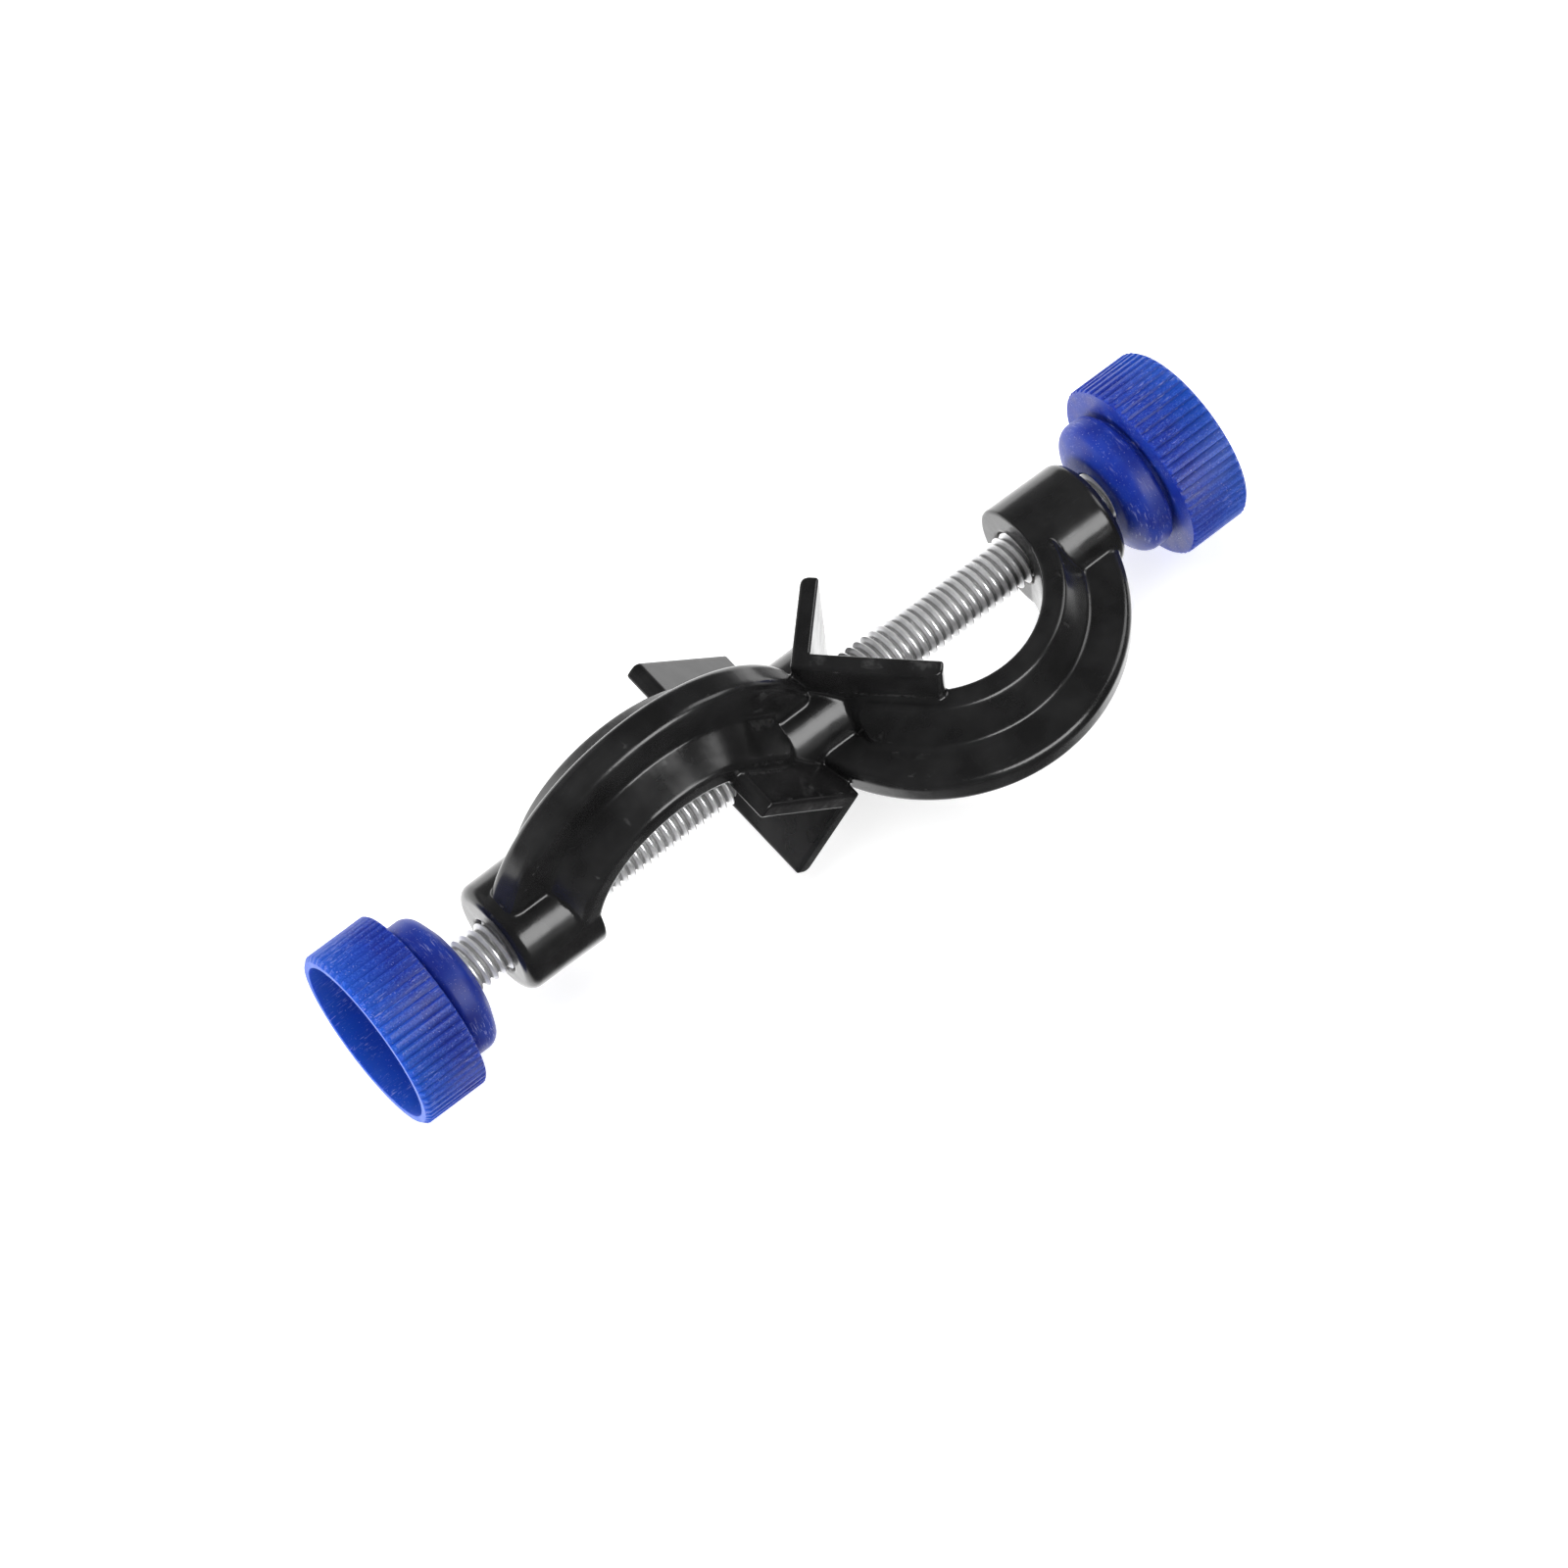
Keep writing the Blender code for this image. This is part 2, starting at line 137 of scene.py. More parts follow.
NECK_RADIUS = 6.9 * MM
BEAD_RADIUS = 8.0 * MM
BEAD_ROUND = 0.55 * MM
BEAD_NOSE_ROUND = 0.95 * MM
NOSE_RADIUS = 5.2 * MM
NOSE_LENGTH = 1.2 * MM
NOSE_ROUND = 0.4 * MM
BEAD_LENGTH = 2.7 * MM
NECK_LENGTH = 0.45 * MM

# The photo's viewpoint
CAMERA_BEARING = math.radians(-32.07)
CAMERA_TILT = math.radians(29.10)
CAMERA_ROLL = math.radians(-8.07)
CAMERA_DISTANCE = 649.5 * MM
CAMERA_LENS = 143.4
CAMERA_SENSOR = 36
AIM = MIDDLE + Vector((-4.59, -3.51, -3.01)) * MM

# Soft boxes: bearing from the front (degrees, positive to the right), height angle, distance, width,
# height, brightness, whether it is seen in reflections, and whether it gives soft light
SOFT_BOXES = {"front_box": (15, 34, 1.1, 0.75, 0.5, 9.0, True, False),
              "front_fill": (15, 34, 1.1, 0.75, 0.5, 2.0, False, True),
              "right_box": (76, 34, 1.1, 0.5, 0.5, 4.0, True, True),
              "low_box": (15, 11, 1.0, 0.6, 0.2, 0.8, True, True),
              "back_box": (200, 30, 1.3, 0.8, 0.6, 0.3, True, True),
              "sky_fill": (190, 68, 1.4, 1.6, 1.6, 2.3, False, True),
              "left_fill": (-85, 15, 1.3, 0.9, 0.7, 7.0, False, True)}
AIR_LIGHT = 0.07
WALL_LIGHT = 0.18
TABLE_LIGHT = 1.8               # what the lit table behind the clamp looks like in its reflections
TABLE_GLOW = 0.75
TABLE_SIZE = 6
TABLE_BELOW = (0.02, -0.08)     # the directions between which each part of the room fades in
TABLE_BEHIND = (-0.36, -0.1)
WALL_LOW = (0.62, 0.3)
WALL_FAR = (0.1, 0.6)

# Colours
ENAMEL_DEEP = (0.010, 0.010, 0.0102, 1)
ENAMEL_PALE = (0.017, 0.017, 0.0174, 1)
ENAMEL_DUST = (0.05, 0.05, 0.052, 1)
ENAMEL_EDGE = (0.09, 0.09, 0.09, 1)
BARE_METAL = (0.42, 0.41, 0.4, 1)
ZINC_DULL = (0.74, 0.74, 0.75, 1)
ZINC_PALE = (0.90, 0.90, 0.91, 1)
# painted shade and grime darkening the thread's roots
ZINC_ROOT_SHADE_AND_GRIME = (0.06, 0.06, 0.056, 1)
# scratches, and a painted highlight along the thread's crests
ZINC_SCRATCH_AND_HIGHLIGHT = (0.98, 0.98, 0.98, 1)
BLUE_DEEP = (0.009, 0.026, 0.28, 1)
BLUE_PALE = (0.012, 0.041, 0.345, 1)
# painted glow of light through the cup's wall near its rim
BLUE_PAINTED_GLOW = (0.008, 0.085, 0.48, 1)
BLUE_RUBBED = (0.10, 0.22, 0.85, 1)
BLUE_SCUFFED = (0.46, 0.49, 0.84, 1)
TABLE_COLOUR = (0.85, 0.85, 0.85, 1)
WHITE = (1, 1, 1, 1)


# Modelling steps

def only(item):
    """Select one object alone, in object mode."""
    if bpy.context.object and bpy.context.object.mode != "OBJECT":
        bpy.ops.object.mode_set(mode="OBJECT")
    bpy.ops.object.select_all(action="DESELECT")
    item.select_set(True)
    bpy.context.view_layer.objects.active = item


def settle(item):
    """Put an object's place, turn and scale into its mesh."""
    only(item)
    bpy.ops.object.transform_apply(location=True, rotation=True, scale=True)
    return item


def edit(item, kind="VERT", where=None):
    """Enter edit mode with everything selected, or only the parts whose middle passes the test."""
    only(item)
    bpy.ops.object.mode_set(mode="EDIT")
    bpy.ops.mesh.select_mode(type=kind)
    bpy.ops.mesh.select_all(action="SELECT" if where is None else "DESELECT")
    if where is None:
        return
    shape = bmesh.from_edit_mesh(item.data)
    parts = {"VERT": shape.verts, "EDGE": shape.edges, "FACE": shape.faces}[kind]
    for part in parts:
        if kind == "VERT":
            middle = part.co
        else:
            middle = sum((corner.co for corner in part.verts), Vector()) / len(part.verts)
        if where(middle):
            part.select_set(True)
    shape.select_flush_mode()
    bmesh.update_edit_mesh(item.data)


def done():
    bpy.ops.object.mode_set(mode="OBJECT")


def near(value, place):
    return abs(value - place) < SLACK


def extrude(x=0.0, y=0.0, z=0.0):
    bpy.ops.mesh.extrude_region_move(TRANSFORM_OT_translate={"value": (x, y, z)})


def apply_modifier(item, kind, **settings):
    only(item)
    step = item.modifiers.new(kind.lower(), kind)
    for name, value in settings.items():
        setattr(step, name, value)
    bpy.ops.object.modifier_apply(modifier=step.name)
    return item


def boolean(item, tool, operation="DIFFERENCE"):
    apply_modifier(item, "BOOLEAN", operation=operation, solver="EXACT", object=tool)
    bpy.data.objects.remove(tool)
    return item


def soften_edges(item, width, segments=3):
    return apply_modifier(item, "BEVEL", width=width, segments=segments, limit_method="ANGLE",
                          angle_limit=math.radians(40))


def joined(items):
    only(items[0])
    for item in items[1:]:
        item.select_set(True)
    bpy.ops.object.join()
    return bpy.context.object


def half_turned(item):
    """A copy with its own mesh, on the other side of the middle."""
    only(item)
    bpy.ops.object.duplicate()
    other = bpy.context.object
    other.matrix_world = HALF_TURN @ other.matrix_world
    return settle(other)


def cylinder(radius, start, end, sides=96):
    """A cylinder along the screw's axis."""
    bpy.ops.mesh.primitive_cylinder_add(vertices=sides, radius=radius, depth=end - start,
                                        location=((start + end) / 2, 0, 0), rotation=(0, math.pi / 2, 0))
    return settle(bpy.context.object)


def box(low, high, turn=0.0):
    """A box between two corners, then turned about the Z axis."""
    middle = [(first + last) / 2 for first, last in zip(low, high)]
    size = [last - first for first, last in zip(low, high)]
    bpy.ops.mesh.primitive_cube_add(size=1, location=middle, scale=size)
    made = settle(bpy.context.object)
    made.rotation_euler.z = turn
    return settle(made)


# The cast body

def seat_leg(length, side):
    """One plate of the V, from behind its corner to its tip. Side 1 is the free leg, -1 the spine's."""
    run = length + SEAT_PLATE
    bpy.ops.mesh.primitive_cube_add(size=1, location=((length - SEAT_PLATE) / 2, side * SEAT_PLATE / 2, 0),
                                    scale=(run, SEAT_PLATE, 2 * SEAT_HALF_LENGTH))
    leg = settle(bpy.context.object)
    edit(leg, "EDGE", lambda m: near(m.x, length) and near(m.y, side * SEAT_PLATE))
    bpy.ops.mesh.bevel(offset=SEAT_TIP_ROUND, segments=6, affect="EDGES")
    done()
    soften_edges(leg, SEAT_EDGE)
    leg.rotation_euler.z = side * math.radians(45)
    leg.location.x = SEAT_VERTEX
    return settle(leg)


def drawn_section(inner, depth, half_width):
    """A rectangle across the boss end of the C, from its inner to its outer radius."""
    bpy.ops.mesh.primitive_plane_add(size=1, location=(THROAT_CENTRE + inner + depth / 2, 0, 0),
                                     rotation=(math.pi / 2, 0, 0))
    section = bpy.context.object
    section.scale = (depth, 2 * half_width, 1)
    return settle(section)


def swept(section, run):
    """Spin a section round the throat, then carry it on along a straight run, and close both ends."""
    edit(section, "FACE")
    bpy.ops.mesh.dissolve_faces()
    bpy.ops.mesh.delete(type="ONLY_FACE")
    bpy.ops.mesh.select_all(action="SELECT")
    bpy.ops.mesh.spin(steps=RUN_TURN_STEPS, angle=RUN_TURN, center=(THROAT_CENTRE, 0, 0), axis=(0, 0, 1))
    extrude(-run / math.sqrt(2), run / math.sqrt(2))
    bpy.ops.mesh.select_all(action="SELECT")
    bpy.ops.mesh.fill_holes(sides=0)
    bpy.ops.mesh.select_all(action="SELECT")
    bpy.ops.mesh.normals_make_consistent(inside=False)
    done()
    return section


def spine_band():
    """The wide inner band of the C and the slope up to its rib."""
    band = drawn_section(THROAT_RADIUS, FLANGE_DEPTH, FLANGE_HALF_WIDTH)
    front = THROAT_CENTRE + THROAT_RADIUS
    back = front + FLANGE_DEPTH
    edit(band, "EDGE", lambda m: near(m.x, back))
    extrude(x=SHOULDER_RISE)
    bpy.ops.transform.resize(value=(1, 1, RIB_HALF_WIDTH / FLANGE_HALF_WIDTH), center_override=(0, 0, 0))
    done()
    for place, width in ((front, FLANGE_EDGE), (back, SHOULDER_EDGE)):
        edit(band, "VERT", lambda m: near(m.x, place))
        bpy.ops.mesh.bevel(offset=width, segments=4, affect="VERTICES")
        done()
    swept(band, THROAT_CENTRE / math.sqrt(2) - BAND_END)
    reach = 4 * SPINE_BACK
    width = FLANGE_HALF_WIDTH + SLACK
    ends = box((BAND_END, -reach, -width), (BAND_END + reach, reach, width))
    edit(ends, "EDGE", lambda m: near(m.x, BAND_END) and near(abs(m.z), width))
    bpy.ops.mesh.bevel(offset=BAND_END_ROUND, segments=10, affect="EDGES")
    done()
    boolean(band, ends, "INTERSECT")
    return soften_edges(band, SHOULDER_EDGE)


def spine_rib():
    """The narrow rounded rib on the back of the C: a disc, hollowed, and cut square at the hub."""
    bpy.ops.mesh.primitive_cylinder_add(vertices=256, radius=SPINE_BACK, depth=2 * RIB_HALF_WIDTH,
                                        location=(THROAT_CENTRE, 0, 0))
    rib = settle(bpy.context.object)
    edit(rib, "EDGE", lambda m: math.hypot(m.x - THROAT_CENTRE, m.y) > 0.99 * SPINE_BACK
         and abs(m.z) > 0.9 * RIB_HALF_WIDTH)
    bpy.ops.mesh.bevel(offset=RIB_ROUND, segments=6, affect="EDGES")
    done()
    inner = THROAT_RADIUS + FLANGE_DEPTH + SHOULDER_RISE / 2
    bpy.ops.mesh.primitive_cylinder_add(vertices=256, radius=inner, depth=SPINE_BACK,
                                        location=(THROAT_CENTRE, 0, 0))
    boolean(rib, settle(bpy.context.object))
    reach = 2 * SPINE_BACK
    across = inner - THROAT_CENTRE / math.sqrt(2)
    boolean(rib, box((-reach, -across, -reach), (THROAT_CENTRE / math.sqrt(2), reach, reach), -math.pi / 4))
    boolean(rib, box((-reach, 0, -reach), (2 * reach, reach, reach)))
    boolean(rib, box((-reach, -reach, -reach), (-RIB_OVERRUN, reach, reach)))
    return soften_edges(rib, SHOULDER_EDGE)


def bore():
    """A tool that cuts the screw's hole right through a boss."""
    return cylinder(BORE_RADIUS, BOSS_START - 2 * MM, BOSS_END + 2 * MM)


def boss():
    """The slightly conical boss at the end of the C, with its hole."""
    bpy.ops.mesh.primitive_cone_add(vertices=128, radius1=BOSS_INNER_RADIUS, radius2=BOSS_OUTER_RADIUS,
                                    depth=BOSS_LENGTH, rotation=(0, math.pi / 2, 0),
                                    location=(BOSS_END - BOSS_LENGTH / 2, -BOSS_SHIFT, 0))
    made = settle(bpy.context.object)
    edit(made, "EDGE", lambda m: near(m.x, BOSS_END))
    bpy.ops.mesh.bevel(offset=BOSS_EDGE, segments=8, affect="EDGES")
    done()
    boolean(made, bore())
    return soften_edges(made, BORE_EDGE)


def hub():
    """The round middle of the body, cut back to the middle of the seats' plates."""
    reach = SEAT_VERTEX + HUB_RADIUS
    core = cylinder(HUB_RADIUS, -reach, reach, 128)
    size = 4 * reach
    corner = SEAT_VERTEX - SEAT_PLATE / math.sqrt(2)
    bpy.ops.mesh.primitive_cube_add(size=size, location=(corner + size / math.sqrt(2), 0, 0),
                                    rotation=(0, 0, math.radians(45)))
    wedge = settle(bpy.context.object)
    other = half_turned(wedge)
    boolean(core, wedge)
    return boolean(core, other)


def around(values, first, second, count):
    """For each vertex, the mean of a value over the vertices joined to it by an edge."""
    total = np.bincount(first, values[second], count) + np.bincount(second, values[first], count)
    return total / (np.bincount(first, minlength=count) + np.bincount(second, minlength=count))


def mark_inner_corners(item, reach):
    """A vertex group that is 1 in the inner corners between plates, band, rib and boss."""
    mesh = item.data
    count = len(mesh.vertices)
    points = np.empty(count * 3)
    mesh.vertices.foreach_get("co", points)
    points = points.reshape(-1, 3)
    normals = np.empty(count * 3)
    mesh.vertex_normals.foreach_get("vector", normals)
    normals = normals.reshape(-1, 3)
    ends = np.empty(len(mesh.edges) * 2, int)
    mesh.edges.foreach_get("vertices", ends)
    first, second = ends.reshape(-1, 2).T
    depth = sum((around(points[:, i], first, second, count) - points[:, i]) * normals[:, i]
                for i in range(3))
    mark = (depth > CORNER_DEPTH).astype(float)
    for _ in range(reach):
        mark = around(mark, first, second, count)
    mark = np.clip(mark * 4, 0, 1)
    group = item.vertex_groups.new(name="inner_corners")
    levels = np.round(mark * MARK_LEVELS).astype(int)
    for level in range(1, MARK_LEVELS + 1):
        group.add(np.nonzero(levels == level)[0].tolist(), level / MARK_LEVELS, "REPLACE")


def cast_body():
    """Both jaws and the hub grown into one skin, with soft fillets in the inner corners."""
    band, rib = spine_band(), spine_rib()
    for part in (band, rib):
        boolean(part, bore())
    right = [seat_leg(FREE_LEG, 1), seat_leg(SPINE_LEG, -1), band, rib, boss()]
    body = joined([hub()] + right + [half_turned(part) for part in right])
    body.name = "cast_body"
    apply_modifier(body, "REMESH", mode="VOXEL", voxel_size=VOXEL)
    apply_modifier(body, "SMOOTH", factor=0.5, iterations=2)
    mark_inner_corners(body, CORNER_REACH)
    apply_modifier(body, "SMOOTH", factor=0.5, iterations=FILLET_PASSES, vertex_group="inner_corners")
    body.vertex_groups.clear()
    triangles = sum(len(face.vertices) - 2 for face in body.data.polygons)
    apply_modifier(body, "DECIMATE", ratio=BODY_TRIANGLES / triangles)
    only(body)
    bpy.ops.object.shade_smooth()
    body.location = MIDDLE
    return settle(body)


# Studs and knobs

def threaded_stud():
    """One tooth of the thread wound round the axis, cut square, chamfered at the tip and headed."""
    length = STUD_REACH + HEAD_DEPTH
    turns = math.ceil(length / THREAD_PITCH) + 3
    start = -STUD_REACH - 1.5 * THREAD_PITCH
    bpy.ops.mesh.primitive_grid_add(x_subdivisions=TOOTH_STEPS, y_subdivisions=1, size=1,
                                    location=(start + THREAD_PITCH / 2, THREAD_PITCH / 2, THREAD_ROOT))
    stud = bpy.context.object
    stud.scale = (THREAD_PITCH, THREAD_PITCH, 1)
    settle(stud)
    edit(stud, "VERT", lambda m: m.y > 0.5 * THREAD_PITCH)
    bpy.ops.mesh.delete(type="VERT")
    done()
    for step in range(1, TOOTH_STEPS):
        off_crest = abs(step - TOOTH_STEPS / 2) - CREST_STEPS
        rise = min(max(1 - off_crest / FLANK_STEPS, 0), 1)
        edit(stud, "VERT", lambda m: near(m.x, start + THREAD_PITCH * step / TOOTH_STEPS))
        bpy.ops.transform.translate(value=(0, 0, rise * (THREAD_RADIUS - THREAD_ROOT)))
        done()
    apply_modifier(stud, "SCREW", axis="X", angle=2 * math.pi, screw_offset=THREAD_PITCH,
                   iterations=turns, steps=TURN_STEPS, render_steps=TURN_STEPS)
    edit(stud)
    bpy.ops.mesh.remove_doubles(threshold=0.002 * MM)
    for place, normal in ((-STUD_REACH - THREAD_PITCH / 4, -1), (HEAD_DEPTH + THREAD_PITCH / 4, 1)):
        bpy.ops.mesh.select_all(action="SELECT")
        bpy.ops.mesh.bisect(plane_co=(place, 0, 0), plane_no=(normal, 0, 0), use_fill=True,
                            clear_outer=True)
    bpy.ops.mesh.select_all(action="SELECT")
    bpy.ops.mesh.normals_make_consistent(inside=False)
    done()
    reach = THREAD_RADIUS + STUD_MARGIN
    envelope = cylinder(reach, -STUD_REACH, HEAD_DEPTH, 64)
    edit(envelope, "EDGE", lambda m: near(m.x, -STUD_REACH))
    bpy.ops.mesh.bevel(offset=reach - TIP_RADIUS, segments=1, affect="EDGES")
    done()
    boolean(stud, envelope, "INTERSECT")
    head = cylinder(HEAD_RADIUS, HEAD_DEPTH, HEAD_DEPTH + HEAD_THICKNESS, 64)
    boolean(stud, head, "UNION")
    only(stud)
    bpy.ops.object.shade_smooth_by_angle(angle=math.radians(30))
    return stud


def ring_at(place):
    return lambda m: near(m.x, place)


def knob_blank():
    """A drum with its cup, then neck, bead, nose and the stud's pocket extruded from its back face."""
    hub_length = KNOB_LENGTH - DRUM_LENGTH
    knob = cylinder(KNOB_RADIUS, hub_length, KNOB_LENGTH, KNOB_RIBS * RIB_STEPS)
    edit(knob, "FACE", ring_at(KNOB_LENGTH))
    bpy.ops.mesh.inset(thickness=CUP_WALL)
    extrude(x=-CUP_DEPTH)
    bpy.ops.mesh.inset(thickness=FLOOR_RIM)
    extrude(x=-FLOOR_STEP)
    done()
    edit(knob, "FACE", ring_at(hub_length))
    bpy.ops.mesh.inset(thickness=KNOB_RADIUS - NECK_RADIUS)
    radius = NECK_RADIUS
    flare = hub_length - NECK_LENGTH - BEAD_LENGTH - NOSE_LENGTH
    steps = ((NECK_LENGTH, NECK_RADIUS), (flare, BEAD_RADIUS), (BEAD_LENGTH, BEAD_RADIUS),
             (NOSE_LENGTH, NOSE_RADIUS))
    for move, size in steps:
        extrude(x=-move)
        bpy.ops.transform.resize(value=(1, size / radius, size / radius), center_override=(0, 0, 0))
        radius = size
    bpy.ops.mesh.inset(thickness=NOSE_RADIUS - BORE_RADIUS)
    extrude(x=HEAD_DEPTH - HEAD_GAP)
    extrude()
    wide = (HEAD_RADIUS + HEAD_GAP) / BORE_RADIUS
    bpy.ops.transform.resize(value=(1, wide, wide), center_override=(0, 0, 0))
    extrude(x=HEAD_THICKNESS + 2 * HEAD_GAP)
    done()
    return knob


def radius_of(point):
    return math.hypot(point.y, point.z)


def ribbed_knob():
    """The blank with its rims rounded and its drum drawn in between the ribs."""
    knob = knob_blank()
    hub_length = KNOB_LENGTH - DRUM_LENGTH
    bead_front = NOSE_LENGTH
    bead_back = bead_front + BEAD_LENGTH
    rounds = ((hub_length, KNOB_RADIUS, DRUM_BACK_CHAMFER, 1), (KNOB_LENGTH, KNOB_RADIUS, DRUM_CHAMFER, 1),
              (KNOB_LENGTH, KNOB_RADIUS - CUP_WALL, CUP_EDGE, 2), (bead_back, BEAD_RADIUS, BEAD_ROUND, 5),
              (bead_front, BEAD_RADIUS, BEAD_NOSE_ROUND, 6), (0.0, NOSE_RADIUS, NOSE_ROUND, 4))
    for place, radius, width, segments in rounds:
        edit(knob, "EDGE", lambda m: near(m.x, place) and abs(radius_of(m) - radius) < 0.05 * MM)
        bpy.ops.mesh.bevel(offset=width, segments=segments, affect="EDGES")
        done()
    step = 2 * math.pi / (KNOB_RIBS * RIB_STEPS)
    for index, height in enumerate(RIB_WAVE):
        if height == 0:
            continue
        edit(knob, "VERT", lambda m: radius_of(m) > KNOB_RADIUS - 0.02 * MM
             and round(math.atan2(m.z, m.y) / step) % RIB_STEPS == index)
        drawn_in = 1 + height * MM / KNOB_RADIUS
        bpy.ops.transform.resize(value=(1, drawn_in, drawn_in), center_override=(0, 0, 0))
        done()
    only(knob)
    bpy.ops.object.shade_smooth_by_angle(angle=math.radians(38))
    return knob


def placed(item, name, low, high, side):
    """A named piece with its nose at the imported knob's nose, on the right (1) or the left (-1)."""
    piece = item if side == 1 else half_turned(item)
    piece.name = name
    piece.location = (low.x if side == 1 else high.x, MIDDLE.y, MIDDLE.z)
    return settle(piece)


# Finishes

def group_of(name, inputs, outputs):
    """A shader node group with named sockets; returns it with its input and output nodes."""
    tree = bpy.data.node_groups.new(name, "ShaderNodeTree")
    for label, kind, value in inputs:
        socket = tree.interface.new_socket(label, in_out="INPUT", socket_type=kind)
        if value is not None:
            socket.default_value = value
    for label, kind in outputs:
        tree.interface.new_socket(label, in_out="OUTPUT", socket_type=kind)
    return tree, tree.nodes.new("NodeGroupInput"), tree.nodes.new("NodeGroupOutput")


def add(tree, kind, links=(), **settings):
    """A node with its properties and inputs set; an input given as a socket is linked."""
    node = tree.nodes.new(kind)
    for name, value in settings.items():
        setattr(node, name, value)
    for key, value in dict(links).items():
        if isinstance(value, bpy.types.NodeSocket):
            tree.links.new(value, node.inputs[key])
        else:
            node.inputs[key].default_value = value
    return node


def math_node(tree, operation, first, second=0.0, third=0.0, clamp=False):
    node = add(tree, "ShaderNodeMath", {0: first, 1: second, 2: third}, operation=operation,
               use_clamp=clamp)
    return node.outputs[0]


def noise(tree, place, scale, detail=3.0, roughness=0.5):
    node = add(tree, "ShaderNodeTexNoise", {"Vector": place, "Scale": scale, "Detail": detail,
                                            "Roughness": roughness})
    return node.outputs["Fac"]


def stretch(tree, value, low, high, to_low=0.0, to_high=1.0):
    node = add(tree, "ShaderNodeMapRange", {"Value": value, "From Min": low, "From Max": high,
                                            "To Min": to_low, "To Max": to_high})
    return node.outputs["Result"]


def worn_edges_group():
    """Mask of the outer edges, broken up by noise."""
    tree, source, result = group_of("worn_edges", (("Sharpness", "NodeSocketFloat", 0.52),
                                                   ("Breakup", "NodeSocketFloat", 900.0)),
                                    (("Mask", "NodeSocketFloat"),))
    place = add(tree, "ShaderNodeTexCoord").outputs["Object"]
    pointed = add(tree, "ShaderNodeNewGeometry").outputs["Pointiness"]
    rise = math_node(tree, "SUBTRACT", pointed, source.outputs["Sharpness"])
    edge = math_node(tree, "MULTIPLY", rise, 14.0, clamp=True)
    broken = stretch(tree, noise(tree, place, source.outputs["Breakup"], 4.0), 0.42, 0.62)
    tree.links.new(math_node(tree, "MULTIPLY", edge, broken), result.inputs["Mask"])
    return tree


def scratches_group():
    """Fine scratches and scuffs that run round the screw's axis or along it."""
    tree, source, result = group_of("fine_scratches", (("Along", "NodeSocketFloat", 200.0),
                                                       ("Round", "NodeSocketFloat", 2500.0),
                                                       ("Amount", "NodeSocketFloat", 0.5)),
                                    (("Mask", "NodeSocketFloat"), ("Height", "NodeSocketFloat")))
    place = add(tree, "ShaderNodeTexCoord").outputs["Object"]
    scale = add(tree, "ShaderNodeCombineXYZ", {0: source.outputs["Along"], 1: source.outputs["Round"],
                                               2: source.outputs["Round"]}).outputs[0]
    stretched = add(tree, "ShaderNodeVectorMath", {0: place, 1: scale}, operation="MULTIPLY").outputs[0]
    lines = noise(tree, stretched, 1.0, 5.0, 0.6)
    patches = noise(tree, place, 260.0, 3.0)
    fine = stretch(tree, lines, 0.56, 0.7)
    where = stretch(tree, patches, 0.47, 0.62)
    mask = math_node(tree, "MULTIPLY", math_node(tree, "MULTIPLY", fine, where), source.outputs["Amount"])
    tree.links.new(mask, result.inputs["Mask"])
    tree.links.new(lines, result.inputs["Height"])
    return tree


def skin_group():
    """Height of a cast or moulded skin: long ripples, orange peel and scattered pits."""
    tree, source, result = group_of("skin", (("Ripple", "NodeSocketFloat", 260.0),
                                             ("Peel", "NodeSocketFloat", 1500.0),
                                             ("Peel Height", "NodeSocketFloat", 0.25),
                                             ("Pits", "NodeSocketFloat", 0.3)),
                                    (("Height", "NodeSocketFloat"), ("Patch", "NodeSocketFloat")))
    place = add(tree, "ShaderNodeTexCoord").outputs["Object"]
    ripple = noise(tree, place, source.outputs["Ripple"], 2.0)
    peel = noise(tree, place, source.outputs["Peel"], 2.0)
    cells = add(tree, "ShaderNodeTexVoronoi", {"Vector": place, "Scale": 620.0}).outputs["Distance"]
    pit = stretch(tree, cells, 0.1, 0.28, 1.0, 0.0)
    rare = stretch(tree, noise(tree, place, 180.0, 2.0), 0.56, 0.64)
    pits = math_node(tree, "MULTIPLY", math_node(tree, "MULTIPLY", pit, rare), source.outputs["Pits"])
    fine = math_node(tree, "MULTIPLY", peel, source.outputs["Peel Height"])
    height = math_node(tree, "SUBTRACT", math_node(tree, "ADD", ripple, fine), pits)
    tree.links.new(height, result.inputs["Height"])
    tree.links.new(ripple, result.inputs["Patch"])
    return tree


def new_material(name):
    made = bpy.data.materials.new(name)
    made.use_nodes = True
    return made, made.node_tree, made.node_tree.nodes["Principled BSDF"]


def use_group(tree, group, **values):
    node = tree.nodes.new("ShaderNodeGroup")
    node.node_tree = group
    for name, value in values.items():
        node.inputs[name.replace("_", " ")].default_value = value
    return node.outputs


def mixed(tree, factor, first, second):
    node = add(tree, "ShaderNodeMix", {0: factor, 6: first, 7: second}, data_type="RGBA")
    return node.outputs[2]


def bumped(tree, shader, height, distance):
    bump = add(tree, "ShaderNodeBump", {"Height": height, "Distance": distance})
    tree.links.new(bump.outputs["Normal"], shader.inputs["Normal"])


def axis_radius(tree):
    """Distance from the screws' axis."""
    place = add(tree, "ShaderNodeTexCoord").outputs["Object"]
    moved = add(tree, "ShaderNodeMapping", {"Vector": place, "Location": (0, -MIDDLE.y, -MIDDLE.z),
                                            "Scale": (0, 1, 1)}).outputs["Vector"]
    return add(tree, "ShaderNodeVectorMath", {0: moved}, operation="LENGTH").outputs["Value"]


